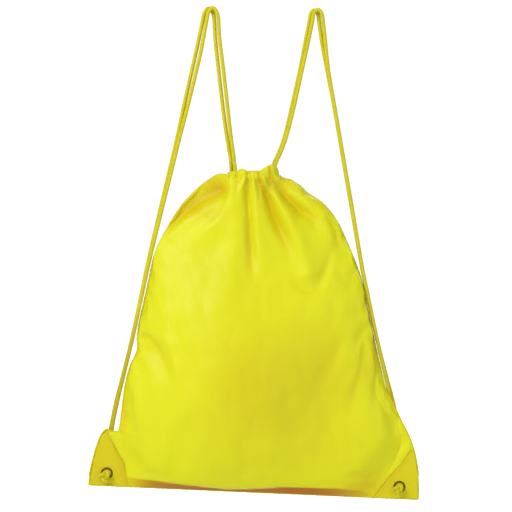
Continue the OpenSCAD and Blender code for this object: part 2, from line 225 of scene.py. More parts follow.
def cloth_material():
    """Yellow polyester taffeta: fine plain weave, satin sheen, warmer painted shade deep in folds and darker
    painted shade under the bulge.
    """
    cloth = Shader("yellow_taffeta")
    clouds = cloth.noise(9.0, 3.0)
    body = cloth.mix(clouds, CLOTH_BODY, CLOTH_LIGHT)
    # Painted shade: the fold attribute warms the colour in creases and pinches, the under attribute darkens
    # it under the bulge and inside the mouth
    folded = cloth.mix(cloth.attribute("fold"), body, CLOTH_FOLD_SHADE)
    coloured = cloth.mix(cloth.attribute("under"), folded, CLOTH_UNDER_SHADE)

    # two crossing families of fine threads
    uneven = {"Scale": 100.0, "Distortion": 0.4, "Detail": 1.0, "Detail Scale": 2.0}
    threads = [cloth.bands(direction, uneven) for direction in ("X", "Z")]
    weave = cloth.node("Math", dict(enumerate(threads)), operation="MAXIMUM").outputs["Value"]
    colour = cloth.mix(0.025, coloured, weave, "MULTIPLY")
    weave_bump = cloth.bump(weave, 0.08, 0.0002)
    crumpled = cloth.bump(cloth.noise(55.0, 4.0, 0.55), 0.18, 0.0008, weave_bump)
    cloth.fill(cloth.surface, {
        "Base Color": colour, "Roughness": cloth.between(clouds, 0.40, 0.54), "Normal": crumpled,
        "Specular IOR Level": 0.30, "Sheen Weight": 0.12, "Sheen Roughness": 0.45,
        "Sheen Tint": rgb("#fff86a")})

    # the thin cloth lets a little light through
    thin = cloth.node("BsdfTranslucent", {"Color": colour, "Normal": crumpled})
    both = cloth.node("MixShader", {0: 0.16, 1: cloth.surface.outputs["BSDF"], 2: thin.outputs["BSDF"]})
    cloth.fill(cloth.tree.nodes["Material Output"], {"Surface": both.outputs["Shader"]})
    return cloth.material


def cord_material():
    """Braided polyester cord in the cloth's colour, with painted shade between its plaits."""
    cord = Shader("yellow_braid")
    plaits = cord.mix(cord.noise(160.0, 3.0), rgb("#c6bb08"), rgb("#dcd210"))
    # The groove attribute carries the painted shade between the plaits, and the left strands' darkening
    # towards the corner
    cord.fill(cord.surface, {
        "Base Color": cord.mix(cord.attribute("groove"), plaits, rgb("#a48a00")),
        "Normal": cord.bump(cord.noise(1500.0, 2.0), 0.3, 0.0002), "Roughness": 0.6,
        "Specular IOR Level": 0.2, "Sheen Weight": 0.08, "Sheen Roughness": 0.5})
    return cord.material


def thread_material():
    """Twisted sewing thread, a shade darker than the cloth."""
    thread = Shader("yellow_thread")
    twist = thread.bands("DIAGONAL", {"Scale": 400.0})
    thread.fill(thread.surface, {
        "Base Color": thread.mix(twist, rgb("#c9b400"), rgb("#e8da18")),
        "Normal": thread.bump(twist, 0.5, 0.0001), "Roughness": 0.6, "Sheen Weight": 0.2})
    return thread.material


def brass_material():
    """Thin pressed brass, aged brown in patches and finely scratched."""
    brass = Shader("eyelet_brass")
    stains = brass.noise(420.0, 4.0, 0.6)
    brass.fill(brass.surface, {
        "Base Color": brass.mix(stains, rgb("#8c6a30"), rgb("#5a3c12")),
        "Roughness": brass.between(stains, 0.18, 0.42),
        "Normal": brass.bump(brass.noise(2600.0, 2.0), 0.15, 0.00005), "Metallic": 1.0})
    return brass.material


CLOTH = cloth_material()
CORD = cord_material()
THREAD = thread_material()
BRASS = brass_material()


# ---- cords ----

CORD_D = 0.004
BRAID_SIDES = 24
BRAID_STEP = 0.0007
BRAID_PLAITS = 8
BRAID_PITCH = 0.012
BRAID_RELIEF = 0.00017
GROOVE_SHADE = 0.6
EASED_RINGS = 6


def braid(name, path, diameter=CORD_D, up=(0, 1, 0), closed=False, end_faces=()):
    """A round braid swept along a path: two families of plaits wind opposite ways, over and under.
    end_faces lists (0 or -1, direction): that end is cut square to the direction, over its last rings."""
    path = np.array(path, float)
    n = len(path)
    tangent = directions(np.vstack([path[-1:], path, path[:1]]))[1:-1] if closed else directions(path)
    side = np.zeros_like(path)
    reference = np.array(up, float)
    for i in range(n):
        reference = reference - tangent[i] * (reference @ tangent[i])
        reference /= np.linalg.norm(reference)
        side[i] = reference
    other = np.cross(tangent, side)
    angle = np.linspace(0, 2 * math.pi, BRAID_SIDES, endpoint=False)
    s, a = np.meshgrid(travelled(path), angle, indexing="ij")
    turn = a / (2 * math.pi) * BRAID_PLAITS
    wind = s / BRAID_PITCH * BRAID_PLAITS
    left_hand, right_hand = turn + wind, turn - wind
    over = (np.floor(left_hand) + np.floor(right_hand)) % 2
    across = np.where(over > 0.5, left_hand, right_hand) % 1.0
    bulge = np.sqrt(np.clip(1 - (2 * across - 1) ** 2, 0, 1))
    radius = diameter / 2 - BRAID_RELIEF * (1 - bulge)
    ring = side[:, None, :] * np.cos(a)[..., None] + other[:, None, :] * np.sin(a)[..., None]
    vertices = path[:, None, :] + ring * radius[..., None]
    for end, facing in end_faces:
        for step in range(EASED_RINGS):
            i = end - step if end else step
            slide = -((vertices[i] - path[i]) @ facing) / (tangent[i] @ facing) * (1 - step / EASED_RINGS)
            vertices[i] += slide[:, None] * tangent[i]
    # Painted shade in the grooves between the plaits
    return new_object(name, vertices.reshape(-1, 3), tube_faces(n, BRAID_SIDES, closed=closed), CORD,
                      groove=(1 - bulge.reshape(-1)) * GROOVE_SHADE)


# the routes of part.scad, in millimetres
LEFT_FRONT = [
    (23.5, -1.5, -156.8), (22.6, -2, -148), (19.8, -2.2, -128), (16.7, -2.2, -100),
    (12.2, -2.2, -60), (8.5, -2.2, -30), (7.3, -2.2, -11), (5.8, -2.2, -3),
    (1.6, -2.2, 2), (-3, -2.2, -2.5), (-4.6, -2.2, -10), (-8.3, -2.2, -30),
    (-12.3, -2.2, -50), (-24.4, -2.2, -100), (-32.2, -2.2, -130), (-42, -2.2, -170),
    (-61.8, -2.2, -250), (-72.8, -2.2, -300), (-81.5, -2.2, -340), (-91.2, -1.2, -380),
    (-96.5, 0.7, -402), (-102.3, 3.9, -430), (-103.6, 5.6, -445), (-105.3, 6.8, -463.9)]
LEFT_BACK = [
    (20, 1.5, -155.2), (18.9, 2, -148), (15.6, 2.2, -128), (11.8, 2.2, -100),
    (7.2, 2.2, -60), (4, 2.2, -30), (3, 2.2, -11), (1.6, 2.2, -3),
    (-2.8, 2.2, 2), (-7.2, 2.2, -3), (-8.8, 2.2, -10), (-13, 2.2, -30),
    (-17.4, 2.2, -50), (-28.6, 2.2, -100), (-34.9, 2.2, -130), (-44.3, 2.2, -170),
    (-63.2, 2.2, -250), (-73.6, 2.2, -300), (-82.2, 2.2, -340), (-92.2, 3.3, -380),
    (-98, 5, -402), (-104, 8.1, -430), (-107, 8.2, -445), (-109.7, 6.8, -462.1)]
RIGHT_FRONT = [
    (67.5, -2, -154.6), (71.2, -2.2, -147), (77.4, -2.2, -130), (85, -2.2, -100),
    (93.8, -2.2, -60), (98.2, -2.2, -40), (102.4, -2.2, -20), (104.3, -2.2, -10.5),
    (105.5, -2.2, -4), (109.9, -2.2, 0), (113.7, -2.2, -4), (115, -2.2, -12),
    (117, -2.2, -30), (119, -2.2, -50), (121.6, -2.2, -70), (126.9, -2.2, -100),
    (137.2, -2.2, -160), (144.2, -2.2, -200), (154.4, -2.2, -260), (162.4, -2.2, -300),
    (170.8, -2, -340), (180, 0.4, -380), (184, 3.4, -400), (187.2, 5.8, -422),
    (190, 6.8, -448), (191.3, 6.8, -477.9)]
RIGHT_BACK = [
    (65.5, 2, -155.4), (69.5, 2.2, -147), (75.6, 2.2, -130), (82.8, 2.2, -100),
    (91.6, 2.2, -60), (95.4, 2.2, -40), (99.3, 2.2, -20), (101.2, 2.2, -10.5),
    (102.4, 2.2, -4), (106.2, 2.2, 0), (109.8, 2.2, -4), (111, 2.2, -12),
    (113.4, 2.2, -30), (117, 2.2, -50), (120.8, 2.2, -70), (126.6, 2.2, -100),
    (136.9, 2.2, -160), (143.8, 2.2, -200), (154.2, 2.2, -260), (162.2, 2.2, -300),
    (171, 2.4, -340), (181.2, 4.6, -380), (187, 6.6, -401), (192, 6.8, -425),
    (194.4, 6.8, -448), (195.7, 6.8, -476.1)]

def attach(piece, body, slot, *nodes):
    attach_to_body(piece, body)
    if nodes:
        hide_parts(*nodes)


def axis_of(front_route, back_route):
    """The way from a cord's eyelet up to where it leaves the hem, which its loop swings about."""
    start = (np.array(front_route[0]) + np.array(back_route[0])) / 2
    end = (np.array(front_route[-1]) + np.array(back_route[-1])) / 2
    return (start - end) / np.linalg.norm(start - end)


ROUTES = {"left": (LEFT_FRONT, LEFT_BACK), "right": (RIGHT_FRONT, RIGHT_BACK)}
AXES = {side_name: axis_of(*routes) for side_name, routes in ROUTES.items()}

# The left strands are darker towards the corner: how far down that begins, over how much, and how dark
DARKER_FROM = 0.30
DARKER_OVER = 0.06
DARKER_BY = 0.35

for side_name, routes in ROUTES.items():
    for face_name, route in zip(("front", "back"), routes):
        name = f"{side_name}_cord_{face_name}"
        path = curve_through(np.array(route, float) * MM, BRAID_STEP)
        strand = braid(name, path, end_faces=((0, AXES[side_name]), (-1, AXES[side_name])))
        if side_name == "left":
            low = np.repeat(smooth((-path[:, 2] - DARKER_FROM) / DARKER_OVER), BRAID_SIDES)
            set_attribute(strand, "groove", attribute_of(strand, "groove") + DARKER_BY * low)
        attach(strand, f"{side_name}_shoulder_cord", "cord", f"{name}_strand")


# ---- bag cloth: two panels, 34 by 39 cm each when cut, gathered at the mouth ----

COLUMNS = 96
ROWS = 104
FINE_ROWS = 16
FINE_FROM = 0.93
SIDE_CROWDING = 0.86

# Edges of the hanging bag as (x, z) from the drawn mouth to the bottom corner, in millimetres
LEFT_EDGE = [
    (17, -169), (8, -168.5), (0, -173.5), (-10, -180.5), (-20, -190), (-30, -201),
    (-39, -214), (-47, -228), (-54, -241), (-59.3, -256), (-64, -278), (-68.9, -300),
    (-73.8, -322), (-76, -338), (-76, -350), (-83, -366), (-88, -384), (-91, -404),
    (-93.5, -425), (-96, -434.5), (-103, -433.5), (-108, -432), (-113, -437),
    (-118, -449), (-122, -463), (-126, -480), (-127, -489)]
RIGHT_EDGE = [
    (69.5, -170), (77.5, -173.5), (85, -177), (92, -182), (100, -189.5), (110, -195.5),
    (120, -205), (130, -219), (138, -236), (144, -250), (150, -265), (155.5, -283),
    (160, -305), (165, -328), (169, -347), (174.2, -369), (179.5, -391), (187, -405),
    (195, -422), (204, -440), (210, -459), (213.5, -480), (214, -504)]
MOUTH_Z = -176.0

# The edges of the filled body, which the two flat corners stand out from
BODY_FROM = 14
BODY_LEFT = LEFT_EDGE[BODY_FROM:BODY_FROM + 5] + [(-98, -445), (-106, -465), LEFT_EDGE[-1]]
BODY_RIGHT = RIGHT_EDGE[BODY_FROM:]

# How far each panel stands out along its middle, by share of the way down
FRONT_CROWN = [(0, 13), (0.06, 14), (0.15, 18), (0.3, 25), (0.45, 36), (0.58, 41.5), (0.7, 41.5), (0.82, 37),
               (0.92, 29), (1, 22)]
BACK_CROWN = [(0, 13), (0.06, 13), (0.15, 14), (0.3, 17), (0.45, 21), (0.6, 24), (0.72, 24), (0.84, 22),
              (0.94, 18), (1, 15)]

# Height of the dark strip under the front's bulge, by x
OVERHANG = [(-112, 0), (-98, 9), (-88, 9.5), (-40, 6.8), (0, 3.1), (15, 2.2), (30, 3), (60, 5.8),
            (70, 7.2), (100, 8), (130, 7.8), (152, 6.5), (166, 3), (180, 0.5)]
# How much of that strip is in deep shade, by x
UNDER_SHADE = [(-112, 0), (-96, 0.12), (-80, 0.24), (-50, 0.7), (-20, 1), (20, 1), (100, 0.85), (120, 0.7),
               (140, 0.35), (160, 0.15), (180, 0)]
OVERHANG_DEPTH = 9.0
BACK_LIP = 1.0
LEAST_STRIP = 0.3
FULL_STRIP = 6.0
LOWER_ROUND = 46.0

# Where the panels change their shape on the way down: from a height, over a length
BODY_NARROWS = (-350, 50)
RIGHT_SLACKENS = (-350, 60)
CROWN_BY_HEIGHT = (-330, 60)

# The folds fade out towards the bottom seam over this height, and towards the sides over this share
SHELF_RISE = 22
SIDE_EASE = 0.06

# Where each flat corner begins, and over how far the body rises from it
LEFT_FLAT = [(-107, -425), (-107, -434), (-102, -446), (-97, -455), (-90, -466), (-87, -479), (-86, -492)]
RIGHT_FLAT = [(207, -425), (206, -440), (202, -453), (193, -466), (181, -478), (175, -486), (164, -503)]
LEFT_CORNER_RISE = 34.0
RIGHT_CORNER_RISE = 32.0
CORNERS_BELOW = -300
RIGHT_SLACK = 0.75
CORNER_FACE = 1.1

# The back gives way to the cords below this height, this far from their middles, then at this slope
TAUT_BELOW = -330
CORD_REACH = 2.4
PRESS_SLOPE = 0.8

# How far down the gathers of the mouth reach, as shares of the panel, and their depths
MOUTH_REACH = 0.03
GATHER_REACH = 0.04
FAN_REACH = 0.26
PLEAT_DEPTH = 4.6
RIPPLE_DEPTH = 1.1
FAN_DEPTH = 5.4

# Soft waves in each panel: across, along and layer of the noise, and height
FRONT_RUMPLE = (13, 17, 9.0)
FRONT_RUMPLE_RISE = 1.0
FRONT_SIDE_RISE = 3.0
BACK_RUMPLE = (22, 30, 4.0)
BACK_RUMPLE_RISE = 5.0

# Valleys this deep get the full painted fold shade; broad and shallow ones get less
FRONT_FULL_TINT = 12.0
BACK_FULL_TINT = 18.0
BROAD_FROM = 40
BROAD_TINT = 0.18
SHALLOW_BELOW = 5
SHALLOW_TINT = 0.45


def along_line(points, x, z):
    """Distance to a line, the side it is on (1 to the viewer's right going down), and the share along."""
    p = np.array(points, float)
    best = np.full(x.shape, 1e9)
    side = np.ones(x.shape)
    share = np.zeros(x.shape)
    start = travelled(p)
    for i, (a, b) in enumerate(zip(p[:-1], p[1:])):
        d = b - a
        t = np.clip(((x - a[0]) * d[0] + (z - a[1]) * d[1]) / (d @ d), 0, 1)
        away = np.hypot(x - a[0] - t * d[0], z - a[1] - t * d[1])
        nearer = away < best
        best = np.where(nearer, away, best)
        turn = d[0] * (z - a[1]) - d[1] * (x - a[0])
        side = np.where(nearer, np.where(turn >= 0, 1, -1), side)
        share = np.where(nearer, (start[i] + t * np.linalg.norm(d)) / start[-1], share)
    return best, side, share


def pressed(depth, x, z):
    """The back panel kept in front of the four strands, which lie taut against it on their way down."""
    for route in ROUTES["left"] + ROUTES["right"]:
        beside = np.array([p for p in route if p[2] < TAUT_BELOW])
        line = beside[:, (0, 2)]
        away, _, share = along_line(line, x, z)
        cord_y = np.interp(share, travelled(line) / travelled(line)[-1], beside[:, 1])
        room = cord_y - CORD_REACH - CORNER_FACE + PRESS_SLOPE * np.maximum(away - CORD_REACH, 0)
        depth = np.minimum(depth, np.maximum(room, 0))
    return depth


class Fold:
    """A ridge (height above 0) or valley (below 0) along a line, in millimetres."""

    def __init__(self, line, height, left, right, grow=1.0, fade_in=0.0, fade_out=0.35, soft=2.0, tint=None):
        self.line = curve_through(line, 4.0)
        self.height, self.left, self.right = height, left, right
        self.grow, self.fade_in, self.fade_out, self.soft = grow, fade_in, fade_out, soft
        # tint: how much painted shade the valley gets
        self.tint = SHALLOW_TINT if abs(height) < SHALLOW_BELOW else 1.0
        if left + right >= BROAD_FROM:
            self.tint = BROAD_TINT
        if tint is not None:
            self.tint = tint

    def lift(self, x, z):
        away, side, share = along_line(self.line, x, z)
        width = np.where(side > 0, self.right, self.left) * (1 + (self.grow - 1) * share)
        weight = smooth((1 - share) / self.fade_out)
        if self.fade_in:
            weight = weight * smooth(share / self.fade_in)
        return self.height * weight * np.exp(-(away / width) ** self.soft)


FRONT_FOLDS = [
    # pleats that run down from the mouth
    Fold([(17, -181), (3, -189), (-12, -197), (-27, -208), (-41, -221), (-53, -238)],
         -8.0, 13, 8, grow=0.4, fade_in=0.1, fade_out=0.3, tint=0.85),
    Fold([(20, -177), (18, -195), (11, -211), (0, -223), (-14, -231), (-32, -238)],
         3.5, 4, 10, grow=1.5, fade_out=0.5),
    Fold([(29, -180), (26, -225), (19, -275), (12, -330)], 3.0, 8, 7, grow=2.0, fade_out=0.6),
    Fold([(36.5, -178), (38, -200), (40.5, -230), (43, -262), (45, -290)],
         -4.6, 3.4, 2.2, grow=1.6, fade_out=0.45, soft=1.5),
    Fold([(46, -184), (47, -215), (48, -245), (51, -276)], 2.5, 3, 6, grow=1.3, fade_out=0.4),
    Fold([(50, -176), (57, -191), (62, -206), (68, -221), (76, -238), (87, -261)],
         -7.5, 3.6, 3.4, grow=2.2, fade_out=0.55, soft=1.6),
    Fold([(60, -180), (74, -205), (88, -234), (98, -262), (102, -283)],
         5.0, 6, 6, grow=1.7, fade_in=0.2, fade_out=0.12),
    Fold([(61, -174), (70, -185), (80, -197), (91, -207), (103, -216), (114, -236)],
         -6.0, 3.6, 3.6, grow=1.8, fade_out=0.5, soft=1.7),
    Fold([(76, -181), (97, -196), (113, -214), (122, -232), (125, -262)],
         3.5, 6, 7, grow=1.3, fade_in=0.2, fade_out=0.5),
    Fold([(121, -236), (121, -256), (114, -277), (103, -290), (90, -284), (76, -267)],
         -2.6, 7, 4, fade_in=0.25, fade_out=0.3),
    # slow swells of the full body
    Fold([(5, -240), (0, -300), (8, -370), (15, -440), (15, -480)], 7.0, 48, 44, fade_in=0.3),
    Fold([(96, -300), (110, -345), (118, -390), (112, -440), (104, -485)], -9.0, 42, 30,
         fade_in=0.35, fade_out=0.3),
    Fold([(158, -320), (168, -380), (174, -420), (180, -470)], 3.2, 22, 14, fade_in=0.3),
    # creases at the left waist
    Fold([(-76, -334), (-63, -338), (-53, -350), (-46, -365), (-39, -384)], -6.0, 14, 3.6,
         fade_in=0.1, fade_out=0.4, soft=1.6, tint=0.25),
    Fold([(-51, -328), (-41, -348), (-35.5, -372), (-34, -396)], 3.2, 3.5, 7, fade_in=0.3, fade_out=0.4),
    Fold([(-84, -372), (-78, -400), (-74, -434)], 2.5, 7, 12, fade_in=0.3, fade_out=0.3),
    Fold([(2, -394), (-28, -414), (-44, -440), (-50, -480)], 2.6, 22, 9, fade_in=0.3, fade_out=0.1),
    Fold([(-92, -440), (-74, -455), (-56, -474)], 2.2, 7, 9, fade_in=0.2, fade_out=0.3),
    # slender creases on the right
    Fold([(158, -335), (153, -370), (146, -393), (141, -413), (139, -432)], -2.4, 3, 7,
         fade_in=0.25, fade_out=0.3, soft=1.5),
    Fold([(171, -362), (168.5, -392), (167, -416)], -1.5, 3, 4, fade_in=0.3, fade_out=0.3, soft=1.6),
    Fold([(136, -326), (128, -352), (118, -376), (108, -396)], -2.6, 12, 6, fade_in=0.3, fade_out=0.4),
    # puckers by the right corner
    Fold([(134, -477), (160, -480), (184, -481)], -2.2, 4, 4, fade_in=0.3, fade_out=0.2),
    Fold([(159, -480), (165, -494)], -1.5, 2.5, 2.5, fade_in=0.2, fade_out=0.3),
]

# Painted shade where the front's cloth turns from the light: middle, reach each way, and how much
PAINTED_SHADE_PATCHES = [
    ((60, -390), (80, 90), 0.16),
    ((38, -380), (38, 55), 0.2),
    ((38, -245), (3.5, 32), 0.4),
    ((167, -345), (5, 22), 0.35),
    ((-91, -415), (4, 26), 0.35),
    ((160, -492), (30, 11), 0.5),
    ((197, -457), (7, 20), 0.3),
    ((8, -184), (12, 9), 0.22),
    ((-8, -208), (20, 9), 0.3),
]

BACK_PLEATS = [
    ([(24, -178), (10, -200), (-10, -228), (-30, -262)], -9.0, 4, 5, 1.8),
    ([(33, -178), (26, -215), (14, -260), (8, -310)], -9.0, 3.5, 4.5, 2.0),
    ([(45, -178), (45, -220), (50, -270)], -9.5, 4, 4, 2.2),
    ([(56, -178), (66, -212), (78, -255), (84, -300)], -9.0, 4.5, 3.5, 2.0),
    ([(66, -178), (84, -200), (104, -230), (120, -270)], -9.0, 5, 4, 1.8),
]
BACK_FOLDS = [Fold(*pleat, fade_out=0.5, soft=1.6) for pleat in BACK_PLEATS] + [
    Fold([(20, -260), (10, -350), (20, -450)], 3.5, 36, 36, fade_in=0.3),
    Fold([(90, -280), (96, -360), (92, -450)], -3.5, 34, 30, fade_in=0.3),
    Fold([(-60, -330), (-40, -360), (-30, -400)], -2.6, 5, 8, fade_in=0.2, fade_out=0.4, soft=1.6),
    Fold([(150, -320), (140, -370), (136, -420)], -2.6, 6, 5, fade_in=0.2, fade_out=0.4, soft=1.6),
]

# Scallops of the gathered hem: where cloth is pinched to the cords, and the line of its top
FRONT_PINCHES = [14, 26, 37.5, 49.5, 60.5, 73]
BACK_PINCHES = [14, 23, 32, 41, 50, 59, 67, 74]
FRONT_TOP = [(14, -167), (18, -166.4), (26, -166.2), (28, -164.2), (31, -163.4), (35, -165),
             (38.5, -168.6), (41, -166.8), (45, -166), (49, -168), (51.5, -166.5), (54, -163.6),
             (60, -160.4), (64, -158.8), (68, -159.5), (71, -166)]
BACK_TOP = [(14, -167), (20, -166), (32, -165), (41, -167), (50, -165.5), (59, -164), (66, -160), (74, -168)]
# Rows of the hem from the cinch over its top and down inside: half depth, half width, share of the rise
HEM_ROWS = [(16.6, 26.6, 0.2), (17.4, 26.6, 0.4), (17.6, 26.4, 0.6), (17.0, 26.0, 0.8), (15.2, 25.2, 0.95),
            (12.6, 24.0, 1.0), (9.6, 22.5, 0.92), (7.2, 21.5, 0.7)]
HEM_ROWS += [(6.6, 21.0, share) for share in (0.35, 0.0, -0.4, -0.8)] + [(6.8, 21.0, -1.2)]
HEM_ROWS += [(7.0, 21.0, share) for share in (-1.6, -2.0, -2.4, -2.8)]
INSIDE_BELOW = 10
RUFFLED_BELOW = 9
MOUTH_DEPTH = 15.6
HEM_SHIFT = 0.3
INNER_RUFFLE = 2.2
OUTER_RUFFLE = 0.45
LOBE_SWELL = 1.4
# Painted shade in the hem's pinches, and painted shade on the hem's rows inside the mouth
PINCH_SHADE = 0.6
INSIDE_FOLD_SHADE = 0.8
INSIDE_SHADE = 0.5


def edge_curve(points):
    """A bag edge as a function of the share of its length."""
    p = curve_through(points, 1.0)
    share = np.linspace(0, 1, len(p))
    return lambda t: (np.interp(t, share, p[:, 0]), np.interp(t, share, p[:, 1]))


LEFT_AT = edge_curve(LEFT_EDGE)
RIGHT_AT = edge_curve(RIGHT_EDGE)
BOTTOM_LEFT = LEFT_EDGE[-1]
BOTTOM_RIGHT = RIGHT_EDGE[-1]


def crown_at(table, value):
    """A panel's middle height, smoothly through the table."""
    p = curve_through(np.array(table, float) * (100, 1), 1.0)
    return np.interp(value, p[:, 0] / 100, p[:, 1])


def table_at(table, value):
    return np.interp(value, [a for a, _ in table], [b for _, b in table])


def place(u, t):
    """The (x, z) of the bag's grid: u runs across from -1 to 1, t down from the mouth."""
    lx, lz = LEFT_AT(t)
    rx, rz = RIGHT_AT(t)
    bottom = (BOTTOM_LEFT[1] + BOTTOM_RIGHT[1]) / 2
    middle = MOUTH_Z + (bottom - MOUTH_Z) * t
    x = lx + (rx - lx) * (u + 1) / 2
    z = lz + (rz - lz) * (u + 1) / 2
    z = z + (middle - (lz + rz) / 2) * (1 - u * u)
    return x, z


def ring_shape(u):
    """The gathered mouth's outline: 1 in the middle, 0 at its two ends, and full between."""
    return np.sqrt(np.clip(1 - np.abs(u) ** 3, 0, 1))


def lobes(x, pinches):
    """0 where the hem is pinched, rising to 1 in each lobe between two pinches."""
    phase = np.interp(x, pinches, np.arange(len(pinches)))
    return np.abs(np.sin(math.pi * phase)) ** 0.7


def below(z, level, over):
    """0 above a level, rising to 1 over so many millimetres below it."""
    return smooth((level - z) / over)


def edge_x(edge, z):
    return np.interp(-z, [-p[1] for p in edge], [p[0] for p in edge])


def rumple(x, z, across, along, layer):
    """Soft waves of fixed noise, about so many millimetres across and along."""
    waves = [noise.noise(Vector((a / across, b / along, layer))) for a, b in zip(x.ravel(), z.ravel())]
    return np.array(waves).reshape(x.shape)


def filled_shape(u, t, x, z, crown, overhang):
    """A panel's depth without folds, its fullness across, and the heights of its points and of the strip."""
    left, right = edge_x(BODY_LEFT, z), edge_x(BODY_RIGHT, z)
    body_u = np.clip((2 * x - left - right) / (right - left), -1, 1)
    low = below(z, *BODY_NARROWS)
    edge = np.sqrt(np.clip(1 - ((1 - low) * u + low * body_u) ** 2, 0, 1))
    across = edge ** 1.1
    if overhang:
        slack = RIGHT_SLACK * below(z, *RIGHT_SLACKENS) * smooth(body_u / 0.25)
        across = across * (1 - slack) + slack * (1 - np.maximum(body_u, 0)) ** 0.8
    seam_z = BOTTOM_LEFT[1] + (BOTTOM_RIGHT[1] - BOTTOM_LEFT[1]) \
        * (x - BOTTOM_LEFT[0]) / (BOTTOM_RIGHT[0] - BOTTOM_LEFT[0])
    by_height = below(z, *CROWN_BY_HEIGHT)
    down = t * (1 - by_height) + np.clip((MOUTH_Z - z) / (MOUTH_Z - seam_z), 0, 1) * by_height
    depth = crown_at(crown, down) * across
    height = z - seam_z
    strip = np.maximum(table_at(OVERHANG, x) if overhang else 0.0, LEAST_STRIP)
    rise = np.clip((height - strip) / LOWER_ROUND, 0, 1)
    lip = np.minimum(OVERHANG_DEPTH * smooth(strip / FULL_STRIP) if overhang else BACK_LIP, depth)
    above_strip = lip + (depth - lip) * np.sqrt(np.clip(1 - (1 - rise) ** 2, 0, 1))
    in_strip = lip * np.clip(height / strip, 0, 1) ** 0.8
    return np.where(height > strip, above_strip, in_strip), edge, height, strip


def flatten_corners(depth, x, z):
    """The depth brought down to the two flat corners."""
    for line, sign, rise_over in ((LEFT_FLAT, 1, LEFT_CORNER_RISE), (RIGHT_FLAT, -1, RIGHT_CORNER_RISE)):
        away, side, _ = along_line(line, x, z)
        inside = np.where(side * sign > 0, away, 0.0)
        depth = depth * np.where(z < CORNERS_BELOW, smooth(inside / rise_over) ** 0.75, 1.0)
    return depth


def stand_out(u, t, x, z, crown, folds, pinches, overhang):
    """How far a panel stands out from the seam plane, with its painted fold shade and its painted shade
    under the bulge.
    """
    depth, edge, height, strip = filled_shape(u, t, x, z, crown, overhang)
    from_side = 1 - np.abs(u)
    shelf = smooth(height / SHELF_RISE) * smooth(from_side / SIDE_EASE)
    depth = depth + sum(f.lift(x, z) for f in folds) * shelf

    pleat = lobes(x, pinches)
    near_mouth = np.exp(-(t / MOUTH_REACH) ** 2)
    depth = depth * (1 - near_mouth) + MOUTH_DEPTH * ring_shape(u) * near_mouth
    gather = np.exp(-t / GATHER_REACH)
    depth = depth + PLEAT_DEPTH * gather * (pleat - 0.75) * edge
    depth = depth + RIPPLE_DEPTH * np.exp(-t / MOUTH_REACH) * np.sin(u * 31 + 1.3 * np.sin(u * 5)) * edge

    if overhang:
        rumple_rise = FRONT_RUMPLE_RISE + FRONT_SIDE_RISE * np.exp(-(from_side / 0.2) ** 2)
        depth = depth + rumple(x, z, *FRONT_RUMPLE) * rumple_rise * edge * shelf
        full_tint = FRONT_FULL_TINT
    else:
        depth = depth + BACK_RUMPLE_RISE * (1 - np.abs(rumple(x, z, *BACK_RUMPLE)) * 2.2) * edge
        fan = np.exp(-(t / FAN_REACH) ** 2) * edge * smooth(t / 0.02)
        depth = depth + FAN_DEPTH * fan * np.sin(u * 24 + 1.7 * np.sin(u * 4 + 1) + 2.2 * t)
        full_tint = BACK_FULL_TINT
    depth = np.maximum(flatten_corners(depth, x, z), 0)

    # Painted shade in the valleys and in the pinches of the gathers
    valley = -sum(np.minimum(f.lift(x, z), 0) * f.tint for f in folds)
    fold = np.clip(valley / full_tint, 0, 1) + 0.5 * gather * (1 - pleat)
    under = np.zeros(x.shape)
    if overhang:
        # Painted shade patches where the cloth turns from the light
        for (mid_x, mid_z), (reach_x, reach_z), amount in PAINTED_SHADE_PATCHES:
            fold = fold + amount * np.exp(-((x - mid_x) / reach_x) ** 2 - ((z - mid_z) / reach_z) ** 2)
        # Painted shade on the strip under the front's bulge, darker and warmer
        shade = table_at(UNDER_SHADE, x)
        below_bulge = smooth((strip - height) / 1.5 + 0.6)
        under = below_bulge * shade
        fold = fold + below_bulge * smooth(shade * 1.5)
    else:
        depth = pressed(depth, x, z)
    return depth + CORNER_FACE * smooth(from_side / 0.02), fold, under


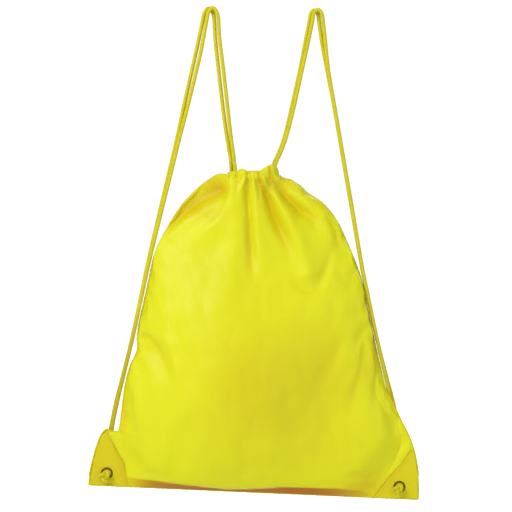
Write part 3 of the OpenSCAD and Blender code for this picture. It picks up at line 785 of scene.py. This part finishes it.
def build_bag():
    """The sewn bag as one mesh of loops, from inside the hem down to the bottom seam."""
    u = np.sin(np.linspace(-1, 1, COLUMNS + 1) * math.pi / 2 * SIDE_CROWDING) \
        / math.sin(math.pi / 2 * SIDE_CROWDING)
    t = np.concatenate([np.linspace(0, FINE_FROM, ROWS - FINE_ROWS, endpoint=False),
                        np.linspace(FINE_FROM, 1, FINE_ROWS + 1)])
    uu, tt = np.meshgrid(u, t, indexing="xy")
    x, z = place(uu, tt)
    front, front_fold, front_under = stand_out(uu, tt, x, z, FRONT_CROWN, FRONT_FOLDS, FRONT_PINCHES, True)
    back, back_fold, back_under = stand_out(uu, tt, x, z, BACK_CROWN, BACK_FOLDS, BACK_PINCHES, False)

    def loop(front_row, back_row):
        return np.concatenate([front_row, back_row[..., -2:0:-1]], axis=-1)

    body = np.stack([loop(x, x), loop(-front, back), loop(z, z)], axis=-1)
    fold = loop(front_fold, back_fold)
    under = loop(front_under, back_under)

    # the hem, from the cinch at the top body row over its top and down inside
    ring = body[0]
    is_front = np.arange(len(ring)) <= COLUMNS
    facing = np.where(is_front, -1, 1)
    ring_u = loop(u, u)
    top = np.where(is_front, table_at(FRONT_TOP, ring[:, 0]), table_at(BACK_TOP, ring[:, 0]))
    pleat = np.where(is_front, lobes(ring[:, 0], FRONT_PINCHES), lobes(ring[:, 0], BACK_PINCHES))
    middle_x = (ring[:, 0].min() + ring[:, 0].max()) / 2 - HEM_SHIFT
    hem = []
    for number, (half_depth, half_width, share) in enumerate(HEM_ROWS):
        row = ring.copy()
        inner = half_depth < RUFFLED_BELOW
        waves = np.sin(ring_u * 34 + 0.5 * number + 2 * np.sin(ring_u * 6))
        swell = half_depth + (INNER_RUFFLE if inner else OUTER_RUFFLE) * waves
        swell = swell + (0.0 if inner else LOBE_SWELL * (pleat - 0.6))
        row[:, 0] = middle_x + ring_u * half_width
        row[:, 1] = facing * swell * ring_shape(ring_u)
        row[:, 2] = ring[:, 2] + (top - ring[:, 2]) * share
        hem.append(row)
    loops = np.concatenate([np.array(hem[::-1]), body])
    # Painted shade in the hem's pinches and on its rows inside the mouth
    inside = np.array([[half_depth < INSIDE_BELOW] for half_depth, _, _ in HEM_ROWS[::-1]])
    pinch = PINCH_SHADE * (1 - np.tile(pleat, (len(hem), 1)))
    fold = np.concatenate([np.clip(pinch + INSIDE_FOLD_SHADE * inside, 0, 1), fold])
    under = np.concatenate([np.zeros(pinch.shape) + INSIDE_SHADE * inside, under])

    count, around = loops.shape[:2]
    bag = new_object("bag_cloth", loops.reshape(-1, 3) * MM, grid_faces(count, around, wrap=True), CLOTH,
                     fold=np.clip(fold, 0, 1).reshape(-1), under=np.clip(under, 0, 1).reshape(-1))
    return bag, count, around


bag, LOOPS, AROUND = build_bag()


# The short cloth simulation: how it is set, how many frames it runs, and how far a point may move
CLOTH_SETTINGS = {
    "quality": 5, "mass": 0.12, "tension_stiffness": 20, "compression_stiffness": 12, "shear_stiffness": 5,
    "bending_stiffness": 0.4, "use_pressure": True, "uniform_pressure_force": 2.0,
    "shrink_min": -0.03, "shrink_max": -0.03}
SETTLE_FRAMES = 16
SETTLE_REACH = 0.006
HELD_ROWS = len(HEM_ROWS) + 2
MIDDLE_SHARE = 0.16
PUCKER_REACH = 0.22


def settle(obj, pinned, share):
    """Let the cloth relax and fill a little, with its seams and mouth held.
    share is how much of the cloth's own movement each point keeps."""
    group = obj.vertex_groups.new(name="held")
    group.add(pinned, 1.0, "REPLACE")
    cloth = obj.modifiers.new("cloth", "CLOTH")
    cloth.point_cache.frame_start = 1
    cloth.point_cache.frame_end = SETTLE_FRAMES
    for key, value in CLOTH_SETTINGS.items():
        setattr(cloth.settings, key, value)
    cloth.settings.vertex_group_mass = group.name
    cloth.settings.effector_weights.gravity = 0
    before = points_of(obj.data)
    for frame_number in range(1, SETTLE_FRAMES + 1):
        bpy.context.scene.frame_set(frame_number)
    after = points_of(obj.evaluated_get(bpy.context.evaluated_depsgraph_get()).data)
    obj.modifiers.remove(cloth)
    obj.vertex_groups.remove(group)
    bpy.context.scene.frame_set(1)
    move = after - before
    size = np.linalg.norm(move, axis=1)
    move *= (np.minimum(size, SETTLE_REACH) / np.maximum(size, 1e-9) * share)[:, None]
    obj.data.vertices.foreach_set("co", (before + move).reshape(-1))
    obj.data.update()


def held_points():
    """The hem, the two side seams and the bottom seam."""
    held = []
    for row in range(LOOPS):
        sewn = row < HELD_ROWS or row >= LOOPS - 2
        held += [row * AROUND + column for column in (range(AROUND) if sewn else (0, COLUMNS))]
    return held


def own_movement():
    """Seams and the sides keep the cloth's own movement and pucker, while the middle keeps only a small
    share of it and stays smooth.
    """
    column = np.arange(AROUND) % COLUMNS
    from_side = np.minimum(column, COLUMNS - column) / (COLUMNS / 2)
    return np.tile(MIDDLE_SHARE + (1 - MIDDLE_SHARE) * np.exp(-(from_side / PUCKER_REACH) ** 2), LOOPS)


settle(bag, held_points(), own_movement())


def split_panel(name, columns, *nodes):
    """One panel of the bag: the share of its loops over the given columns, rounded by a subdivision."""
    picked = [c % AROUND for c in columns]

    def share(values):
        return values.reshape(LOOPS, AROUND, -1)[:, picked]

    shades = {key: share(attribute_of(bag, key)).reshape(-1) for key in ("fold", "under")}
    points = share(points_of(bag.data)).reshape(-1, 3)
    panel = new_object(name, points, grid_faces(LOOPS, len(picked)), CLOTH, **shades)
    rounder = panel.modifiers.new("rounder", "SUBSURF")
    rounder.levels = rounder.render_levels = 1
    rounded = bpy.data.meshes.new_from_object(panel.evaluated_get(bpy.context.evaluated_depsgraph_get()))
    panel.modifiers.remove(rounder)
    panel.data = rounded
    attach(panel, "bag", "cloth", *nodes)
    return panel


bag_front = split_panel("bag_front", range(COLUMNS + 1), "front_panel", "front_casing")
bag_back = split_panel("bag_back", range(COLUMNS, AROUND + 1), "back_panel", "back_casing")
bpy.data.objects.remove(bag)


def surface_of(obj):
    return BVHTree.FromPolygons([v.co[:] for v in obj.data.vertices],
                                [f.vertices[:] for f in obj.data.polygons])


SURFACES = {-1: surface_of(bag_front), 1: surface_of(bag_back)}


def on_cloth(x, z, facing, otherwise):
    """The cloth's y at (x, z), seen from the front (facing -1) or the back (1), in millimetres."""
    start = Vector((x * MM, facing * 0.2, z * MM))
    place, _, _, _ = SURFACES[facing].ray_cast(start, Vector((0, -facing, 0)))
    return place.y / MM if place else otherwise


# ---- seams: a narrow folded welt where the two panels meet ----

WELT_WIDE = 0.9
WELT_THICK = 1.0
WELT_STEP = 1.6
WELT_SIDES = 10
# How much painted shade the welts get
WELT_SHADE = 0.45


def welt(name, line, node, inward):
    """A flattened, slightly puckered roll of cloth along a line of (x, z)."""
    line = curve_through(line, WELT_STEP)
    n = len(line)
    tangent = directions(line)
    out = np.column_stack([tangent[:, 1], -tangent[:, 0]]) * inward
    vertices = []
    for i in range(n):
        pucker = 1 + 0.12 * math.sin(i * 2.1) + 0.08 * math.sin(i * 0.73)
        ends = min(1.0, (min(i, n - 1 - i) + 1) / 3)
        for k in range(WELT_SIDES):
            a = 2 * math.pi * k / WELT_SIDES
            reach = WELT_WIDE * pucker * ends * math.cos(a)
            vertices.append(((line[i, 0] + out[i, 0] * reach) * MM,
                             WELT_THICK * ends * math.sin(a) * MM,
                             (line[i, 1] + out[i, 1] * reach) * MM))
    size = len(vertices)
    # The welts get painted shade
    piece = new_object(name, vertices, tube_faces(n, WELT_SIDES), CLOTH,
                       fold=np.full(size, WELT_SHADE), under=np.zeros(size))
    attach(piece, "bag", "cloth", node)


welt("left_seam", LEFT_EDGE[1:-1], "left_side_seam", -1)
welt("right_seam", RIGHT_EDGE[1:-1], "right_side_seam", 1)
welt("bottom_seam_welt", [BOTTOM_LEFT, (0, -494.6), (100, -499), BOTTOM_RIGHT], "bottom_seam", 1)

# ---- corner patches ----

PATCH_T = 0.6
PATCH_ACROSS = 18
PATCH_ALONG = 26
LEFT_DIAGONAL = [(-107, -434.5), (-97, -455), (-90, -466), (-86, -489.5)]
LEFT_RIM = [(-108, -433.5), (-113, -437.5), (-118.3, -449.5), (-122.4, -463), (-126.2, -480),
            (-126.8, -488.5)]
RIGHT_DIAGONAL = [(206, -453), (195, -468), (183, -480), (177, -488), (166, -502)]
RIGHT_RIM = [(208.5, -456), (210.2, -460.5), (213.3, -480), (213.8, -502.8)]


def corner_patch(name, facing, diagonal, rim, patch_shade, node):
    """A doubled-over piece of cloth on the panel's corner, its diagonal edge folded under."""
    wide = PATCH_ALONG + 1
    lines = list(zip(evenly(diagonal, wide), evenly(rim, wide)))
    grid = [d + (r - d) * b * 0.97 for b in np.linspace(0, 1, PATCH_ACROSS + 1) for d, r in lines]
    count = len(grid)
    outer, inner, tint = [], [], []
    for i, p in enumerate(grid):
        b = (i // wide) / PATCH_ACROSS
        a = (i % wide) / PATCH_ALONG
        y = facing * max(facing * on_cloth(p[0], p[1], facing, facing * CORNER_FACE), CORNER_FACE)
        hem = 1.0 + 0.15 * math.exp(-(b * 9) ** 2)
        ripple = 0.10 * math.sin(a * 23 + b * 4) * math.exp(-(b * 5) ** 2)
        lift = PATCH_T * (hem + ripple) * smooth(min(b * 18 + 0.35, 1))
        outer.append((p[0] * MM, (y + facing * lift) * MM, p[1] * MM))
        inner.append((p[0] * MM, (y - facing * 0.2) * MM, p[1] * MM))
        # Painted shade over the patch, deeper along its folded diagonal edge
        tint.append(patch_shade + 0.2 * math.exp(-(b * 6) ** 2))
    faces = []
    for quad in grid_faces(PATCH_ACROSS + 1, wide):
        faces += [quad, tuple(count + k for k in quad[::-1])]
    ring = list(range(wide))
    ring += [b * wide + PATCH_ALONG for b in range(1, PATCH_ACROSS + 1)]
    ring += [PATCH_ACROSS * wide + a for a in range(PATCH_ALONG - 1, -1, -1)]
    ring += [b * wide for b in range(PATCH_ACROSS - 1, 0, -1)]
    faces += [(i, j, count + j, count + i) for i, j in zip(ring, ring[1:] + ring[:1])]
    piece = new_object(name, outer + inner, faces, CLOTH, fold=tint + tint, under=np.zeros(2 * count))
    attach(piece, "bag", "cloth", node)


for facing, face_name in ((-1, "front"), (1, "back")):
    # Each corner's last number is its painted shade
    for side_name, diagonal, rim, patch_shade in (("left", LEFT_DIAGONAL, LEFT_RIM, 0.45),
                                             ("right", RIGHT_DIAGONAL, RIGHT_RIM, 0.35)):
        corner_patch(f"{side_name}_{face_name}_corner", facing, diagonal, rim, patch_shade,
                     f"{side_name}_{face_name}_patch")

# ---- stitching ----

STITCH_L = 2.4
STITCH_PITCH = 3.4
STITCH_ARCH = 0.3
STITCH_SUNK = 0.12
STITCH_RINGS = 7
STITCH_SIDES = 6
THREAD_D = 0.45
PATCH_STITCH_IN = 2.6
HEM_SEAM = (22, 70, -177.5)
TACK_STITCHES = 9
TACK_PITCH = 0.55
TACK_Z = -174.5


def stitches(name, places, node):
    """Short arched stitches, each given as its middle, its direction and the way out of the cloth."""
    vertices, faces = [], []
    for place in places:
        middle, direction, out = (np.array(v, float) for v in place)
        direction /= np.linalg.norm(direction)
        out /= np.linalg.norm(out)
        other = np.cross(direction, out)
        faces += tube_faces(STITCH_RINGS, STITCH_SIDES, first=len(vertices))
        for s in np.arange(STITCH_RINGS) / (STITCH_RINGS - 1):
            arch = math.sin(math.pi * s)
            centre = middle + direction * (s - 0.5) * STITCH_L + out * (arch * STITCH_ARCH - STITCH_SUNK)
            radius = THREAD_D / 2 * (0.55 + 0.45 * arch)
            for k in range(STITCH_SIDES):
                a = 2 * math.pi * k / STITCH_SIDES
                vertices.append((centre + radius * (math.cos(a) * out + math.sin(a) * other)) * MM)
    attach(new_object(name, vertices, faces, THREAD), "bag", "thread", node)


def patch_stitch_places(diagonal, outward):
    """A row of stitches beside the diagonal edge; outward is -1 for the left corner, 1 for the right."""
    line = curve_through(diagonal, STITCH_PITCH)
    along = directions(line)
    away = np.column_stack([-along[:, 1], along[:, 0]])
    away *= outward * np.sign(away[:, :1])
    places = []
    for facing in (-1, 1):
        for p, run in zip((line + away * PATCH_STITCH_IN)[2:-1], along[2:-1]):
            y = on_cloth(p[0], p[1], facing, facing * CORNER_FACE)
            y = facing * (max(y * facing, CORNER_FACE) + PATCH_T)
            places.append(((p[0], y, p[1]), (run[0], 0, run[1]), (0, facing, 0)))
    return places


def hem_stitch_places(facing):
    """A row of stitches across the panel under the hem, following its pleats."""
    x_from, x_to, z = HEM_SEAM
    places = []
    for x in np.arange(x_from, x_to, STITCH_PITCH):
        y = on_cloth(x, z, facing, facing * 14)
        out = (on_cloth(x - 0.5, z, facing, y) - on_cloth(x + 0.5, z, facing, y)) * -facing
        slope = (on_cloth(x + 0.8, z, facing, y) - on_cloth(x - 0.8, z, facing, y)) / 1.6
        places.append(((x, y, z), (1, slope, 0), (-out * 0.5, facing, 0)))
    return places


def bar_tack_places(x):
    """A short zigzag of stitches at an end of the hem, on both panels."""
    places = []
    for facing in (-1, 1):
        for k in range(TACK_STITCHES):
            z = TACK_Z + k * TACK_PITCH
            y = on_cloth(x, z, facing, facing * 10)
            places.append(((x, y, z), (1, 0, 0.15 * (-1) ** k), (0, facing, 0)))
    return places


stitches("left_corner_stitches", patch_stitch_places(LEFT_DIAGONAL, -1), "left_patch_stitching")
stitches("right_corner_stitches", patch_stitch_places(RIGHT_DIAGONAL, 1), "right_patch_stitching")
stitches("front_hem_stitches", hem_stitch_places(-1), "front_casing_stitching")
stitches("back_hem_stitches", hem_stitch_places(1), "back_casing_stitching")
stitches("left_hem_tacks", bar_tack_places(18.5), "left_bar_tacks")
stitches("right_hem_tacks", bar_tack_places(70.5), "right_bar_tacks")

# ---- the cords' hidden lengths: round the hem, through the eyelets and into the knots ----

# What is left free between each strand and the bag's own stretch of that cord
PIVOT_GAP = 0.15
HEM_CORD_Z = -168.0
MOUTH_X = 45.0
MOUTH_HALF = 12.0
FAR_HALF = 8.5
EYELET_CORD_D = 0.0038
EYELET_CORD_OFF = 2.15
EYELETS = {"left": (-107.5, -477), "right": (193.5, -491)}


def hem_run(side_name, track, front_rise, back_rise, front_angle, back_angle):
    """Out of the hem at the near side, all the way round, and out beside where it went in."""
    side = -1 if side_name == "left" else 1
    axis = AXES[side_name]
    front_route, back_route = ROUTES[side_name]

    def turn(angles, half):
        return [(MOUTH_X + side * half + side * track * math.sin(math.radians(a)),
                 -track * math.cos(math.radians(a)), HEM_CORD_Z) for a in angles]

    points = [front_route[0] - PIVOT_GAP * axis] + front_rise[::-1]
    points += turn(np.linspace(front_angle, 0, 6), MOUTH_HALF)
    points += turn(np.linspace(0, -180, 10), -FAR_HALF)
    points += turn(np.linspace(180, back_angle, 6), MOUTH_HALF)
    points += back_rise + [back_route[0] - PIVOT_GAP * axis]
    path = curve_through(np.array([tuple(p) for p in points]) * MM, BRAID_STEP)
    run = braid(f"{side_name}_hem_cord", path, end_faces=((0, axis), (-1, axis)))
    attach(run, "bag", "cord", f"{side_name}_cord_casing_run")
    return run


def eyelet_runs(side_name):
    """The two strand ends going forward through the eyelet side by side."""
    at = EYELETS[side_name]
    runs = []
    for route in ROUTES[side_name]:
        end = np.array(route[-1], float)
        x = at[0] + EYELET_CORD_OFF * (1 if end[0] > at[0] else -1)
        bend = [(x, 6.8, at[1] + 7), (x, 6.3, at[1] + 3.2), (x, 4.4, at[1] + 0.9),
                (x, 1.5, at[1]), (x, -2.4, at[1])]
        points = np.array([end - PIVOT_GAP * AXES[side_name]] + bend)
        runs.append(curve_through(points * MM, BRAID_STEP))
    return runs


def joined(name, pieces):
    """Several braids made one mesh."""
    vertices, faces, groove = [], [], []
    for piece in pieces:
        first = len(vertices)
        vertices += list(points_of(piece.data))
        faces += [tuple(first + i for i in f.vertices) for f in piece.data.polygons]
        groove += list(attribute_of(piece, "groove"))
        bpy.data.objects.remove(piece)
    return new_object(name, vertices, faces, CORD, groove=groove)


left_run = hem_run("left", 13.6, [(24.4, -7.2, -165.5), (24.3, -3.6, -161)],
                   [(20.7, 4.6, -165), (20.5, 2.8, -160.5)], 40, 115)
right_run = hem_run("right", 9.4, [(65.2, -3.8, -164.5), (65.9, -2.6, -159.5)],
                    [(64.6, 4, -164.5), (64.5, 2.9, -160)], 61, 119)

for side_name in ("left", "right"):
    upper_face = ((0, AXES[side_name]),)
    ends = [braid(f"{side_name}_end_{i}", run, EYELET_CORD_D, up=(1, 0, 0), end_faces=upper_face)
            for i, run in enumerate(eyelet_runs(side_name))]
    attach(joined(f"{side_name}_eyelet_cord", ends), "bag", "cord", f"{side_name}_cord_eyelet_end")


def trefoil(name, centre, size, depth, diameter, turn, node):
    """A tight overhand knot: one closed trefoil of braid in front of the eyelet."""
    t = np.linspace(0, 2 * math.pi, 130, endpoint=False)
    x = (np.sin(t) + 2 * np.sin(2 * t)) * size
    z = (np.cos(t) - 2 * np.cos(2 * t)) * size
    y = -np.sin(3 * t) * depth
    c, s = math.cos(turn), math.sin(turn)
    path = np.column_stack([centre[0] + x * c - z * s, centre[1] + y, centre[2] + x * s + z * c])
    attach(braid(name, path * MM, diameter, closed=True), "bag", "cord", node)


trefoil("left_overhand_knot", (-109.7, -7.2, -480.0), 1.7, 2.4, 0.004, 0.5, "left_knot")
trefoil("right_overhand_knot", (192.3, -6.8, -493.3), 1.35, 2.2, 0.0037, 2.4, "right_knot")

for eyelet_node in ("left_eyelet", "left_eyelet_washer", "right_eyelet", "right_eyelet_washer"):
    for material_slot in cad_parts[eyelet_node].material_slots:
        material_slot.link = "OBJECT"
        material_slot.material = BRASS


# ---- studio ----

# Each light's place, width and height, and power
LIGHTS = {
    "key": ((-1.1, -1.5, 0.95), (0.9, 0.9), 30),
    "fill": ((1.6, -1.6, 0.2), (1.4, 1.4), 8),
    "back": ((0.3, 1.4, 0.9), (1.2, 0.8), 8),
}
WHITE = (1, 1, 1, 1)
WORLD_LEVELS = (0.46, 1.05)
FLOOR_LEVELS = (0.0, 0.75)
FLOOR_Z = -0.60
FLOOR_RADIUS = 6.0
FLOOR_SIDES = 48

for name, (place_of_light, (width, height), power) in LIGHTS.items():
    lamp = bpy.data.lights.new(name, "AREA")
    lamp.shape = "RECTANGLE"
    lamp.size = width
    lamp.size_y = height
    lamp.energy = power
    light = bpy.data.objects.new(name, lamp)
    light.location = place_of_light
    light.rotation_euler = (VIEW_CENTRE - light.location).to_track_quat("-Z", "Y").to_euler()
    bpy.context.scene.collection.objects.link(light)


def camera_level(tree, levels):
    """A strength of two levels: what lights the scene, and what the camera sees."""
    sees = tree.nodes.new("ShaderNodeLightPath")
    level = tree.nodes.new("ShaderNodeMapRange")
    level.inputs["To Min"].default_value, level.inputs["To Max"].default_value = levels
    tree.links.new(sees.outputs["Is Camera Ray"], level.inputs["Value"])
    return level.outputs["Result"]


world = bpy.data.worlds.new("studio")
bpy.context.scene.world = world
world.use_nodes = True
background = world.node_tree.nodes["Background"]
background.inputs["Color"].default_value = WHITE
world.node_tree.links.new(camera_level(world.node_tree, WORLD_LEVELS), background.inputs["Strength"])

paint = Shader("pale_floor")
grain = paint.node("TexNoise", {"Scale": 30.0, "Detail": 3.0}).outputs["Fac"]
paint.fill(paint.surface, {
    "Base Color": paint.mix(grain, (0.90, 0.90, 0.90, 1), (0.94, 0.94, 0.94, 1)), "Roughness": 0.9,
    "Emission Color": WHITE, "Emission Strength": camera_level(paint.tree, FLOOR_LEVELS)})
rim = [(FLOOR_RADIUS * math.cos(a), FLOOR_RADIUS * math.sin(a), FLOOR_Z)
       for a in np.linspace(0, 2 * math.pi, FLOOR_SIDES, endpoint=False)]
floor = new_object("floor", rim, [tuple(range(FLOOR_SIDES))], paint.material, smooth_shade=False)
